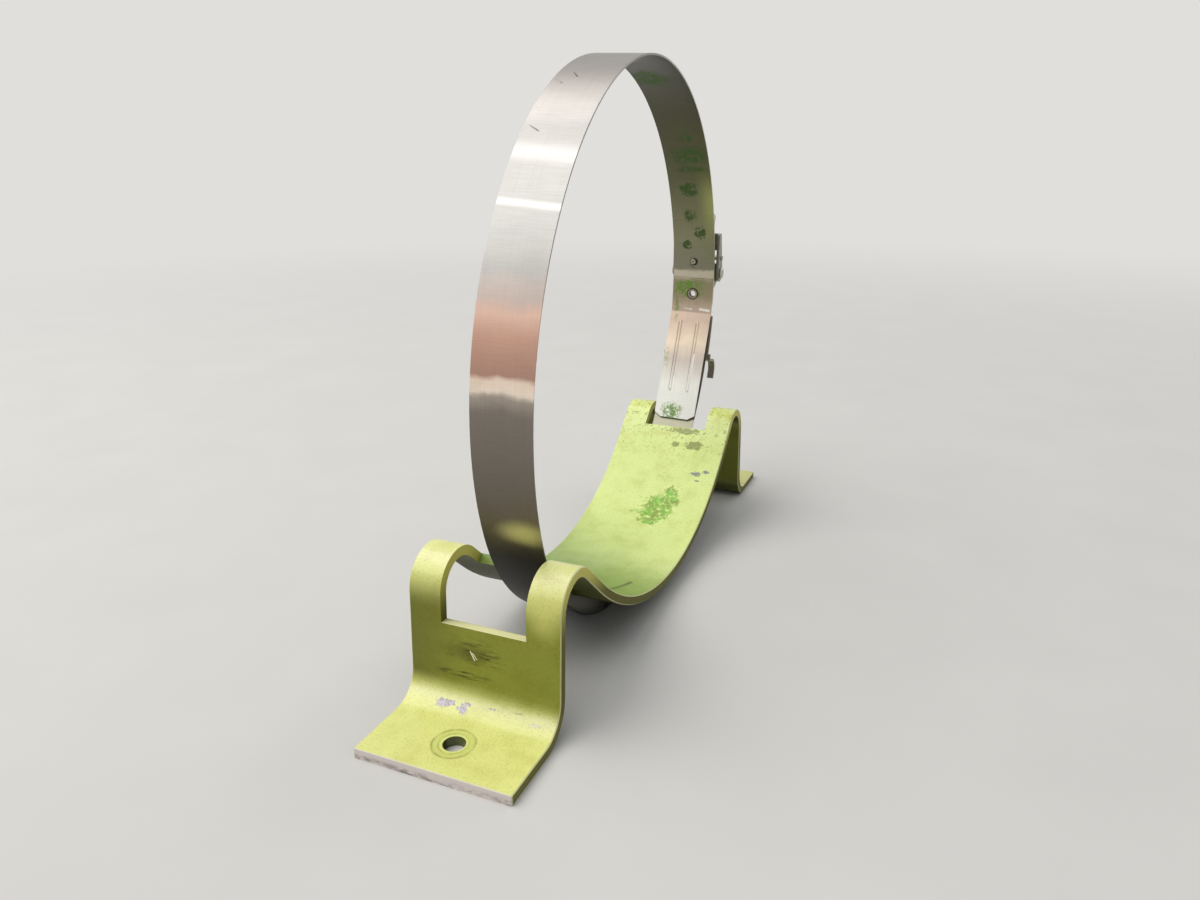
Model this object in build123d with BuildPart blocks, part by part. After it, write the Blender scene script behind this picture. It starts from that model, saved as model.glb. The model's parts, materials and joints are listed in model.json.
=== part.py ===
from build123d import *
from math import cos, hypot, radians, sin
import os

# Gas cylinder bracket: a folded plate with a curved saddle for the cylinder, and a sprung
# metal band that passes under the saddle, up through a window in each hump and round the
# cylinder, where an over-centre latch joins its two ends. Millimetres.
# X runs across the plate, Y along it with the latch at +Y, and Z up from under the feet.

os.makedirs("parts", exist_ok=True)

# --- driving dimensions: what the bracket holds, a cylinder 7 1/2 inches across ---
cylinder_radius = 95.25

# --- driving dimensions: bracket plate ---
plate_width = 50.8
plate_thickness = 3.175
edge_bevel = 0.3
saddle_ease = 5.8          # saddle bend radius over the cylinder's own
saddle_rise = 8.15         # saddle's lowest top surface over the floor
saddle_half_angle = 43.1
flank_length = 14.3
crest_radius = 11.7        # on the outer side of the hump
leg_lean = 3.6
foot_bend_radius = 9.5     # on the upper side of the foot
foot_flat = 20.6
foot_hole_diameter = 6.75
foot_hole_from_tip = 12.7
window_width = 28.6
window_leg_height = 29.1   # window's lower edge on the leg, over the floor
window_flank_start = 8.2   # window's saddle end, up the flank from the saddle's curve

# --- driving dimensions: band, which stands as an uneven loop while it is empty ---
band_width = 19.05
band_thickness = 0.6
band_floor_gap = 0.25
upright_growth = 8.3       # mean radius of the bottom and top arcs, over the cylinder's
level_growth = -2.6        # the same for the low back and high front arcs
slanting_growth = -1.6     # the same for the high back and low front arcs
lobe = 10.2                # how far each arc is wider or tighter than its pair's mean
arc_turn = 60.0
first_arc_start = -98.1    # outward direction where the bottom arc starts, from +Y
band_yaw = 2.35
band_lean = 2.55
band_place = (-0.9, -5.95)  # lowest point of the band's mid-width, in X and Y
band_upper_end = -0.8      # outward directions of the band's two ends
band_lower_end = -4.4

# --- driving dimensions: tongue inside the joint ---
tongue_thickness = 0.6
tongue_top = 7.2
tongue_kink = -3.8
tongue_end = -39.4
tongue_end_gap = 0.5
tongue_corner = (3.0, 2.0)
kink_radius = 3.0
bead_spacing = 8.2
bead_width = 2.0
bead_height = 0.45
bead_slope = 40.0
bead_start = 4.5           # from the kink
bead_length = 34.0

# --- driving dimensions: latch base, lever and bail ---
base_thickness = 1.2
base_width = 18.6
base_ends = (-1.2, 16.6)
ear_radius = 4.0
ear_foot = 6.0             # half length of an ear where it meets the base
pivot_direction = 8.0
pivot_height = 7.0         # over the band's inner face
pivot_rivet_radius = 1.5
pivot_clearance = 0.05
side_clearance = 0.3
lever_wall = 1.2
lever_slope = 14.0
lever_round = 3.9
lever_wall_length = 18.5
lever_tab_length = 27.5
lever_tab_width = 15.0
lever_tab_lift = 2.4
lever_tab_corner = 2.2
bail_arm = 7.0             # pivot to bail hole
bail_hole_rise = 0.3       # over the pivot's tangent line, so the closed lever is over centre
bail_wire_radius = 1.0
bail_half_width = 6.5
bail_bend_radius = 2.0
bail_end = 0.7             # bail's ends past the lever's sides
web_start = 3.4            # lever's web starts this far past the bail hole

# --- driving dimensions: hook plate ---
hook_thickness = 1.2
hook_base_width = 20.0
hook_width = 22.4
hook_top = -4.8
hook_flat_end = -17.0
hook_neck_drop = 3.4       # neck's lower face below the end of the curved part
hook_stand = 13.8          # lip's outer face over the band's outer face
hook_reach = 8.6
hook_neck_slant = 1.4
hook_root_radius = 1.2
hook_bend_radius = 5.0
slot_clearance = 0.8
crossbar_height = 6.4      # bail's crossbar over the band's outer face
seat_gap = 0.5             # lets the bail rise as the lever passes its centre
slot_floor = 2.8           # slots' lower end over the band's outer face

# --- driving dimensions: rivets ---
rivet_radius = 1.6
rivet_head_radius = 2.5
rivet_head_height = 0.8
rivet_bevel = 0.5
rivet_end_depth = 0.15     # inner ends stop short of the band's inner face
upper_rivet = 12.3
band_slot_length = 5.5
band_slot_width = 3.8
eyelet = 2.0
eyelet_radius = 2.0
eyelet_bore_radius = 1.45
eyelet_rim_radius = 2.7
eyelet_rim = 0.3
eyelet_seat = 0.05         # rim's flat face over the tongue's hollow one
hook_rivets = (-8.0, -13.6)

# --- plate profile, front half, in Y and Z ---
half_angle = radians(saddle_half_angle)
lean = radians(leg_lean)
saddle_radius = cylinder_radius + saddle_ease
flank_up = Vector(-cos(half_angle), sin(half_angle))
flank_normal = Vector(sin(half_angle), cos(half_angle))
leg_up = Vector(sin(lean), cos(lean))
leg_normal = Vector(-cos(lean), sin(lean))
saddle_centre = Vector(0, saddle_rise + saddle_radius)
saddle_end = saddle_centre - flank_normal * saddle_radius
flank_end = saddle_end + flank_up * flank_length
crest_centre = flank_end - flank_normal * crest_radius
leg_top = crest_centre + leg_normal * crest_radius
bend_centre_height = plate_thickness + foot_bend_radius
leg_foot = leg_top - leg_up * (
    (leg_top + leg_normal * foot_bend_radius).Y - bend_centre_height) / leg_up.Y
bend_centre = leg_foot + leg_normal * foot_bend_radius
foot_tip = bend_centre.X - foot_flat
crest_height = crest_centre.Y + crest_radius


def plate_line(depth):
    """Front half of the plate's upper outline, or the same line at a depth below it."""
    Line((foot_tip, plate_thickness - depth), (bend_centre.X, plate_thickness - depth))
    CenterArc(bend_centre, foot_bend_radius + depth, -90, 90 - leg_lean)
    Line(leg_foot - leg_normal * depth, leg_top - leg_normal * depth)
    CenterArc(crest_centre, crest_radius - depth, 180 - leg_lean,
              leg_lean - 90 - saddle_half_angle)
    Line(flank_end - flank_normal * depth, saddle_end - flank_normal * depth)
    CenterArc(saddle_centre, saddle_radius + depth, -90 - saddle_half_angle, saddle_half_angle)


window_flank = saddle_end + flank_up * window_flank_start
window_leg = leg_top - leg_up * ((leg_top.Y - window_leg_height) / leg_up.Y)
cut_margin = 2.0
window_outline = (
    window_leg + leg_normal * cut_margin,
    (window_leg.X - cut_margin, crest_height + cut_margin),
    (window_flank.X + cut_margin, crest_height + cut_margin),
    window_flank + flank_normal * cut_margin,
    window_flank - flank_normal * (plate_thickness + cut_margin),
    window_leg - leg_normal * (plate_thickness + cut_margin),
)

with BuildPart() as bracket:
    with BuildSketch(Plane.YZ):
        with BuildLine():
            plate_line(0)
            plate_line(plate_thickness)
            Line((foot_tip, 0), (foot_tip, plate_thickness))
            Line((0, saddle_rise), (0, saddle_rise - plate_thickness))
        make_face()
        mirror(about=Plane.YZ)
    extrude(amount=plate_width / 2, both=True)
    plate_sides = bracket.faces().filter_by(Axis.X).edges()
    chamfer(plate_sides, edge_bevel)
    with BuildSketch(Plane.YZ):
        with BuildLine():
            Polyline(window_outline, close=True)
        make_face()
        mirror(about=Plane.YZ)
    extrude(amount=window_width / 2, both=True, mode=Mode.SUBTRACT)
    with Locations((0, foot_tip + foot_hole_from_tip, 0), (0, -foot_tip - foot_hole_from_tip, 0)):
        Cylinder(foot_hole_diameter / 2, plate_thickness * 3, mode=Mode.SUBTRACT)
bracket.part.label = "bracket"
export_step(bracket.part, "parts/bracket.step")

# --- the band's own plane: x towards the latch, y up, z across the band ---
yaw = radians(band_yaw)
tilt = radians(band_lean)
across = Vector(cos(yaw) * cos(tilt), sin(yaw) * cos(tilt), -sin(tilt))
backward = Vector(-sin(yaw), cos(yaw), 0)
band_rise = band_floor_gap + band_width / 2 * sin(tilt)
band_plane = Plane(origin=(*band_place, band_rise), x_dir=backward, z_dir=across)

upright_radius = cylinder_radius + upright_growth
level_radius = cylinder_radius + level_growth
slanting_radius = cylinder_radius + slanting_growth
arc_radii = (
    upright_radius + lobe,   # bottom
    level_radius - lobe,     # back
    slanting_radius + lobe,  # high back
    upright_radius - lobe,   # top
    level_radius + lobe,     # front
    slanting_radius - lobe,  # low front
)


def direction(angle):
    return Vector(cos(radians(angle)), sin(radians(angle)))


def loop_arcs():
    """Centre, radius and first outward direction of each arc, one and a half times round."""
    centre = Vector(0, arc_radii[0] + band_thickness)
    start = first_arc_start
    arcs = []
    for number in range(9):
        radius = arc_radii[number % 6]
        arcs.append((centre, radius, start))
        start += arc_turn
        centre = centre + direction(start) * (radius - arc_radii[(number + 1) % 6])
    return arcs


def loop_point(angle, height=0.0):
    """Point over the band's inner face where it faces the given outward direction."""
    for centre, radius, start in loop_arcs():
        if start <= angle <= start + arc_turn:
            return centre + direction(angle) * (radius + height)


def loop_line(height, first, last):
    """The loop's arcs at a height over the band's inner face, between two directions."""
    for centre, radius, start in loop_arcs():
        low = max(first, start)
        high = min(last, start + arc_turn)
        if high > low:
            CenterArc(centre, radius + height, low, high - low)


def strip_line(low, high, first, last):
    """Outline of a strip that follows the loop between two heights and two directions."""
    loop_line(low, first, last)
    loop_line(high, first, last)
    Line(loop_point(first, low), loop_point(first, high))
    Line(loop_point(last, low), loop_point(last, high))


def to_world(point, side=0.0):
    return band_plane.from_local_coords(Vector(point.X, point.Y, side))


def world_direction(local):
    return to_world(local) - to_world(Vector(0, 0))


def rivet_plane(angle, height=0.0):
    """Plane square to a rivet at a height over the band's inner face: x up the band."""
    return Plane(
        origin=to_world(loop_point(angle, height)),
        x_dir=world_direction(direction(angle + 90)),
        z_dir=world_direction(direction(angle)),
    )


# --- strap band ---
with BuildPart() as strap_band:
    with BuildSketch(band_plane):
        with BuildLine():
            strip_line(0, band_thickness, band_upper_end, 360 + band_lower_end)
        make_face()
    extrude(amount=band_width / 2, both=True)
    with BuildSketch(rivet_plane(upper_rivet, -1)):
        SlotOverall(band_slot_length, band_slot_width)
    extrude(amount=band_thickness + 2, mode=Mode.SUBTRACT)
    for angle, hole in ((eyelet, eyelet_radius), (hook_rivets[0], rivet_radius),
                        (hook_rivets[1], rivet_radius)):
        with BuildSketch(rivet_plane(angle, -1)):
            Circle(hole)
        extrude(amount=band_thickness + 2, mode=Mode.SUBTRACT)
strap_band.part.label = "strap_band"
export_step(strap_band.part, "parts/strap_band.step")

# --- tongue that bridges the joint on the band's inner side ---
kink_outer = loop_point(tongue_kink)
kink_inner = loop_point(tongue_kink, -tongue_thickness)
tip_outer = loop_point(tongue_end, -tongue_end_gap)
tongue_run = tip_outer - kink_outer
tongue_length = tongue_run.length
tongue_along = tongue_run * (1 / tongue_length)
tongue_inward = Vector(tongue_along.Y, -tongue_along.X)
tip_inner = tip_outer + tongue_inward * tongue_thickness
tongue_plane = Plane(
    origin=to_world(kink_outer),
    x_dir=world_direction(tongue_along),
    z_dir=world_direction(tongue_inward),
)
bead_middle = bead_start + bead_length / 2

with BuildPart() as underlap_tongue:
    with BuildSketch(band_plane) as tongue_side:
        with BuildLine():
            loop_line(-tongue_thickness, tongue_kink, tongue_top)
            loop_line(0, tongue_kink, tongue_top)
            Line(loop_point(tongue_top, -tongue_thickness), loop_point(tongue_top))
            Line(kink_outer, tip_outer)
            Line(tip_outer, tip_inner)
            Line(tip_inner, kink_inner)
        make_face()
        inner_corner = tongue_side.vertices().sort_by_distance(kink_inner)[:1]
        fillet(inner_corner, kink_radius)
        outer_corner = tongue_side.vertices().sort_by_distance(kink_outer)[:1]
        fillet(outer_corner, kink_radius + tongue_thickness)
    extrude(amount=band_width / 2, both=True)
    for side in (-1, 1):
        with BuildSketch(tongue_plane):
            with BuildLine():
                Polyline(
                    (tongue_length, side * band_width / 2),
                    (tongue_length - tongue_corner[1], side * band_width / 2),
                    (tongue_length, side * (band_width / 2 - tongue_corner[0])),
                    close=True,
                )
            make_face()
        extrude(amount=tongue_thickness * 2, both=True, mode=Mode.SUBTRACT)
        with BuildSketch(tongue_plane.offset(tongue_thickness / 2)):
            with Locations((bead_middle, side * bead_spacing / 2)):
                SlotOverall(bead_length, bead_width)
        extrude(amount=tongue_thickness / 2 + bead_height, taper=bead_slope)
        with BuildSketch(tongue_plane):
            with Locations((bead_middle, side * bead_spacing / 2)):
                SlotOverall(bead_length - bead_width / 2, bead_width / 2)
        extrude(amount=bead_height, taper=bead_slope / 2, mode=Mode.SUBTRACT)
    with BuildSketch(rivet_plane(eyelet, -tongue_thickness - 1)):
        Circle(eyelet_radius)
    extrude(amount=tongue_thickness + 2, mode=Mode.SUBTRACT)
underlap_tongue.part.label = "underlap_tongue"
export_step(underlap_tongue.part, "parts/underlap_tongue.step")

# --- latch frame: along the band from the pivot, and outward ---
pivot = loop_point(pivot_direction, pivot_height)
latch_along = direction(pivot_direction + 90)
latch_out = direction(pivot_direction)
base_top = band_thickness + base_thickness
base_half = base_width / 2
lever_inside = base_half + side_clearance
lever_half = lever_inside + lever_wall
slope = radians(lever_slope)
latch_turn = pivot_direction + 90


def latch_point(along, out):
    return pivot + latch_along * along + latch_out * out


def lever_top(along):
    """Height of the lever's sloping outer face over the pivot."""
    return (lever_round - along * sin(slope)) / cos(slope)


bail_hole = latch_point(bail_arm, bail_hole_rise)

# --- latch base ---
with BuildPart() as latch_base:
    with BuildSketch(band_plane):
        with Locations(pivot):
            Circle(ear_radius)
        with Locations(latch_point(0, band_thickness + base_thickness / 2 - pivot_height)):
            Rectangle(ear_foot * 2, base_thickness * 0.8, rotation=latch_turn)
        make_hull()
    extrude(amount=base_half, both=True)
    with BuildSketch(band_plane):
        with Locations(pivot):
            Rectangle(ear_foot * 3, pivot_height * 3, rotation=latch_turn)
    extrude(amount=base_half - base_thickness, both=True, mode=Mode.SUBTRACT)
    with BuildSketch(band_plane):
        with BuildLine():
            strip_line(band_thickness, base_top, base_ends[0], base_ends[1])
        make_face()
    extrude(amount=base_half, both=True)
    with BuildSketch(band_plane):
        with Locations(pivot):
            Circle(pivot_rivet_radius)
    extrude(amount=base_width, both=True, mode=Mode.SUBTRACT)
    for angle, hole in ((upper_rivet, rivet_radius), (eyelet, eyelet_radius)):
        with BuildSketch(rivet_plane(angle, -1)):
            Circle(hole)
        extrude(amount=base_top + 2, mode=Mode.SUBTRACT)
latch_base.part.label = "latch_base"
export_step(latch_base.part, "parts/latch_base.step")

# --- lever ---
web_from = bail_arm + web_start
web_drop = lever_wall / cos(slope)
tab_bend = lever_tab_length - lever_tab_lift * 2
wall_outline = (
    pivot,
    latch_point(0, -lever_round),
    latch_point(lever_wall_length, -lever_round),
    latch_point(lever_wall_length, lever_top(lever_wall_length)),
    latch_point(lever_round * sin(slope), lever_round * cos(slope)),
)
tab_start = lever_wall_length - lever_wall * 2
tab_tip = latch_point(lever_tab_length, lever_top(tab_bend) + lever_tab_lift - web_drop / 2)
tab_outline = (
    latch_point(tab_start, lever_top(tab_start)),
    latch_point(tab_bend, lever_top(tab_bend)),
    latch_point(lever_tab_length, lever_top(tab_bend) + lever_tab_lift),
    latch_point(lever_tab_length, lever_top(tab_bend) + lever_tab_lift - web_drop),
    latch_point(tab_bend, lever_top(tab_bend) - web_drop),
    latch_point(tab_start, lever_top(tab_start) - web_drop),
)

with BuildPart() as latch_lever:
    with BuildSketch(band_plane):
        with BuildLine():
            Polyline(wall_outline, close=True)
        make_face()
        with Locations(pivot):
            Circle(lever_round)
    extrude(amount=lever_half, both=True)
    with BuildSketch(band_plane):
        with BuildLine():
            Polyline(
                latch_point(-lever_round * 2, -lever_round * 2),
                latch_point(-lever_round * 2, lever_round * 2),
                latch_point(web_from, lever_round * 2),
                latch_point(web_from, lever_top(web_from) - web_drop),
                latch_point(lever_wall_length + 1, lever_top(lever_wall_length + 1) - web_drop),
                latch_point(lever_wall_length + 1, -lever_round * 2),
                close=True,
            )
        make_face()
    extrude(amount=lever_inside, both=True, mode=Mode.SUBTRACT)
    with BuildSketch(band_plane) as tab_side:
        with BuildLine():
            Polyline(tab_outline, close=True)
        make_face()
        fillet(tab_side.vertices().sort_by_distance(tab_outline[1])[:1], lever_wall * 4)
        fillet(tab_side.vertices().sort_by_distance(tab_outline[4])[:1], lever_wall * 3)
    extrude(amount=lever_tab_width / 2, both=True)
    tab_corners = []
    for side in (-1, 1):
        corner = to_world(tab_tip, side * lever_tab_width / 2)
        tab_corners.append(latch_lever.edges().sort_by_distance(corner)[0])
    fillet(tab_corners, lever_tab_corner)
    with BuildSketch(band_plane):
        with Locations(pivot):
            Circle(pivot_rivet_radius + pivot_clearance)
        with Locations(bail_hole):
            Circle(bail_wire_radius + pivot_clearance)
    extrude(amount=lever_half + 1, both=True, mode=Mode.SUBTRACT)
latch_lever.part.label = "latch_lever"
export_step(latch_lever.part, "parts/latch_lever.step")

# --- pivot rivets, one on each side ---
with BuildPart() as pivot_rivets:
    ear_plane = Plane(
        origin=to_world(pivot, base_half - base_thickness), x_dir=backward, z_dir=across)
    with BuildSketch(ear_plane):
        Circle(pivot_rivet_radius)
    extrude(amount=lever_half + side_clearance - base_half + base_thickness)
    head_plane = Plane(
        origin=to_world(pivot, lever_half + side_clearance), x_dir=backward, z_dir=across)
    with BuildSketch(head_plane):
        Circle(rivet_head_radius)
    extrude(amount=rivet_head_height)
    rim = pivot_rivets.edges().sort_by(Axis(head_plane.origin, across))[-1]
    chamfer(rim, rivet_bevel)
    mirror(about=band_plane)
pivot_rivets.part.label = "pivot_rivets"
export_step(pivot_rivets.part, "parts/pivot_rivets.step")

# --- hook plate: flat on the band, then a neck, a bend and a lip that points down ---
hook_root = loop_point(hook_flat_end, band_thickness)
hook_up = direction(hook_flat_end + 90)
hook_out = direction(hook_flat_end)
neck_lean = hook_neck_slant / hook_stand
neck_across = hook_thickness * hypot(1, neck_lean)
crossbar_across = (bail_wire_radius + seat_gap) * hypot(1, neck_lean)
lip_along = hook_neck_slant - hook_neck_drop - hook_reach


def hook_point(along, out):
    return hook_root + hook_up * along + hook_out * out


def neck_point(out, step=0.0):
    """Point on the neck's lower face at a height over the band, or a step above it."""
    return hook_point(neck_lean * out - hook_neck_drop + step, out)


lip_height = hook_stand - hook_thickness
hook_corners = (
    hook_point(0, 0),
    hook_point(0, hook_thickness),
    neck_point(hook_thickness, neck_across),
    neck_point(hook_stand, neck_across),
    hook_point(lip_along, hook_stand),
    hook_point(lip_along, lip_height),
    neck_point(lip_height),
    neck_point(0),
)
crossbar = neck_point(crossbar_height, -crossbar_across)
slot_inner = bail_half_width - bail_wire_radius - slot_clearance
slot_outer = bail_half_width + bail_wire_radius + slot_clearance

with BuildPart() as hook_plate:
    with BuildSketch(band_plane) as hook_side:
        with BuildLine():
            Polyline(hook_corners, close=True)
        make_face()
        fillet(hook_side.vertices().sort_by_distance(hook_corners[2])[:1], hook_root_radius)
        fillet(hook_side.vertices().sort_by_distance(hook_corners[7])[:1],
               hook_root_radius + hook_thickness)
        fillet(hook_side.vertices().sort_by_distance(hook_corners[3])[:1],
               hook_bend_radius + hook_thickness)
        fillet(hook_side.vertices().sort_by_distance(hook_corners[6])[:1], hook_bend_radius)
    extrude(amount=hook_width / 2, both=True)
    with BuildSketch(band_plane):
        with BuildLine():
            strip_line(band_thickness, band_thickness + hook_thickness, hook_flat_end, hook_top)
        make_face()
    extrude(amount=hook_base_width / 2, both=True)
    for side in (-1, 1):
        slot_side = Plane(
            origin=to_world(Vector(0, 0), side * (slot_inner + slot_outer) / 2),
            x_dir=backward, z_dir=across)
        with BuildSketch(slot_side):
            with BuildLine():
                Polyline(
                    hook_point(hook_neck_drop, slot_floor),
                    hook_point(hook_neck_drop, hook_stand + 1),
                    hook_point(lip_along - 1, hook_stand + 1),
                    hook_point(lip_along - 1, slot_floor),
                    close=True,
                )
            make_face()
        extrude(amount=(slot_outer - slot_inner) / 2, both=True, mode=Mode.SUBTRACT)
    for angle in hook_rivets:
        with BuildSketch(rivet_plane(angle, -1)):
            Circle(rivet_radius)
        extrude(amount=band_thickness + hook_thickness + 2, mode=Mode.SUBTRACT)
hook_plate.part.label = "hook_plate"
export_step(hook_plate.part, "parts/hook_plate.step")

# --- wire bail: ends in the lever's holes, crossbar under the hook ---
bail_up = crossbar - bail_hole
bail_length = bail_up.length
bail_plane = Plane(
    origin=to_world(bail_hole),
    x_dir=across,
    z_dir=across.cross(world_direction(bail_up * (1 / bail_length))),
)
bail_reach = lever_half + bail_end

with BuildPart() as wire_bail:
    with BuildLine(bail_plane) as bail_path:
        FilletPolyline(
            (-bail_reach, 0),
            (-bail_half_width, 0),
            (-bail_half_width, bail_length),
            (bail_half_width, bail_length),
            (bail_half_width, 0),
            (bail_reach, 0),
            radius=bail_bend_radius,
        )
    with BuildSketch(Plane(origin=bail_path.line @ 0, z_dir=bail_path.line % 0)):
        Circle(bail_wire_radius)
    sweep(path=bail_path.line)
wire_bail.part.label = "wire_bail"
export_step(wire_bail.part, "parts/wire_bail.step")

# --- rivet in the base's upper end ---
with BuildPart() as base_rivet:
    with BuildSketch(rivet_plane(upper_rivet, rivet_end_depth)):
        Circle(rivet_radius)
    extrude(amount=base_top - rivet_end_depth)
    with BuildSketch(rivet_plane(upper_rivet, base_top)):
        Circle(rivet_head_radius)
    extrude(amount=rivet_head_height)
    head_axis = Axis(to_world(pivot), world_direction(direction(upper_rivet)))
    chamfer(base_rivet.edges().sort_by(head_axis)[-1], rivet_bevel)
base_rivet.part.label = "base_rivet"
export_step(base_rivet.part, "parts/base_rivet.step")

# --- eyelet that holds tongue, band and base together ---
with BuildPart() as eyelet_rivet:
    with BuildSketch(rivet_plane(eyelet, -tongue_thickness - eyelet_seat - eyelet_rim)):
        Circle(eyelet_rim_radius)
    extrude(amount=eyelet_rim)
    with BuildSketch(rivet_plane(eyelet, -tongue_thickness - eyelet_seat)):
        Circle(eyelet_radius)
    extrude(amount=base_top + tongue_thickness + eyelet_seat)
    with BuildSketch(rivet_plane(eyelet, base_top)):
        Circle(eyelet_rim_radius)
    extrude(amount=eyelet_rim)
    with BuildSketch(rivet_plane(eyelet, -tongue_thickness - 1)):
        Circle(eyelet_bore_radius)
    extrude(amount=base_top + tongue_thickness + 2, mode=Mode.SUBTRACT)
eyelet_rivet.part.label = "eyelet_rivet"
export_step(eyelet_rivet.part, "parts/eyelet_rivet.step")

# --- two rivets in the hook plate ---
with BuildPart() as hook_plate_rivets:
    for angle in hook_rivets:
        with BuildSketch(rivet_plane(angle, rivet_end_depth)):
            Circle(rivet_radius)
        extrude(amount=band_thickness + hook_thickness - rivet_end_depth)
        with BuildSketch(rivet_plane(angle, band_thickness + hook_thickness)):
            Circle(rivet_head_radius)
        extrude(amount=rivet_head_height)
        rim_point = to_world(
            loop_point(angle, band_thickness + hook_thickness + rivet_head_height),
            rivet_head_radius)
        head_rim = hook_plate_rivets.edges().filter_by(GeomType.CIRCLE)
        chamfer(head_rim.sort_by_distance(rim_point)[0], rivet_bevel)
hook_plate_rivets.part.label = "hook_plate_rivets"
export_step(hook_plate_rivets.part, "parts/hook_plate_rivets.step")
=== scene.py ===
"""Dresses a strap-latched gas cylinder bracket: primed plate, brushed band and latch, on a pale floor."""

import json
import math

import bpy
import numpy as np
from mathutils import Matrix, Vector

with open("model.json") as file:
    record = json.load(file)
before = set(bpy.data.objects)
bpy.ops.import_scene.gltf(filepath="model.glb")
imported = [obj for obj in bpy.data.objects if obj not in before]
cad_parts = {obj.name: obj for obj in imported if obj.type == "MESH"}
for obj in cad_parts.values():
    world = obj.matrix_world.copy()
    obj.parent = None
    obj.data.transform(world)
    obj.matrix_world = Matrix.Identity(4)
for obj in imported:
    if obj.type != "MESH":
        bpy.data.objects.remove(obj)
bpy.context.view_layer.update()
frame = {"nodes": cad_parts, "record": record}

# The camera stands low in front of the nearer foot and looks along the band towards the latch.
VIEW_PLACE = Vector((0.12049, -0.29062, 0.16169))
VIEW_TURN = 23.39
VIEW_DIP = 18.96
VIEW_ROLL = -0.53
VIEW_LENS = 26.07

MM = 0.001

# Places that the wear and the painted highlights and reflections are set out from, in millimetres along the
# bracket from its middle or up from its feet.
FOOT_TIP = 130.83
FOOT_HOLE = 118.13
SADDLE_REACH = 84.0
BAND_CENTRE_HEIGHT = 96.0
BEND_LIGHT_HEIGHT = 6.2
CREST_LIGHT_HEIGHT = 47.2
JOINT_LIGHT_HEIGHT = 107.6
RIM_LIGHT_HEIGHT = 138.0
LOWER_SHEEN_HEIGHT = 149.5
UPPER_SHEEN_HEIGHT = 162.3

# Radii of the two rings that a washer pressed into the front foot, in millimetres.
INNER_RING = 4.4
WASHER_RING = 6.3

# The height in millimetres that a colour ramp spans.
RAMP_SPAN = 200

# Distances from the object, in millimetres, between which the floor turns from a lit surface to an even tone.
LIT_FLOOR = 260.0
EVEN_FLOOR = 1500.0

# How strongly the room lights surfaces, and how strongly it shows to the eye and in metal.
ROOM_LIGHT = 0.34
ROOM_SHOWN = 0.95


def paint(red, green, blue):
    """A display colour, 0 to 255 a channel, as the linear colour that a shader takes."""
    def linear(channel):
        share = channel / 255
        return share / 12.92 if share <= 0.04045 else ((share + 0.055) / 1.055) ** 2.4
    return (linear(red), linear(green), linear(blue), 1.0)


class Value:
    """A socket that shader maths is written on: each operator adds one Math node."""

    def __init__(self, finish, socket):
        self.finish = finish
        self.socket = socket

    def maths(self, operation, first, second=0.0):
        return self.finish.node("Math", {"operation": operation}, {0: first, 1: second})

    def sign(self):
        return self.maths("SIGN", self)

    def __add__(self, other):
        return self.maths("ADD", self, other)

    def __radd__(self, other):
        return self.maths("ADD", other, self)

    def __sub__(self, other):
        return self.maths("SUBTRACT", self, other)

    def __rsub__(self, other):
        return self.maths("SUBTRACT", other, self)

    def __mul__(self, other):
        return self.maths("MULTIPLY", self, other)

    def __rmul__(self, other):
        return self.maths("MULTIPLY", other, self)

    def __truediv__(self, other):
        return self.maths("DIVIDE", self, other)

    def __rtruediv__(self, other):
        return self.maths("DIVIDE", other, self)

    def __neg__(self):
        return self.maths("MULTIPLY", self, -1.0)

    def __abs__(self):
        return self.maths("ABSOLUTE", self)


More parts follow.
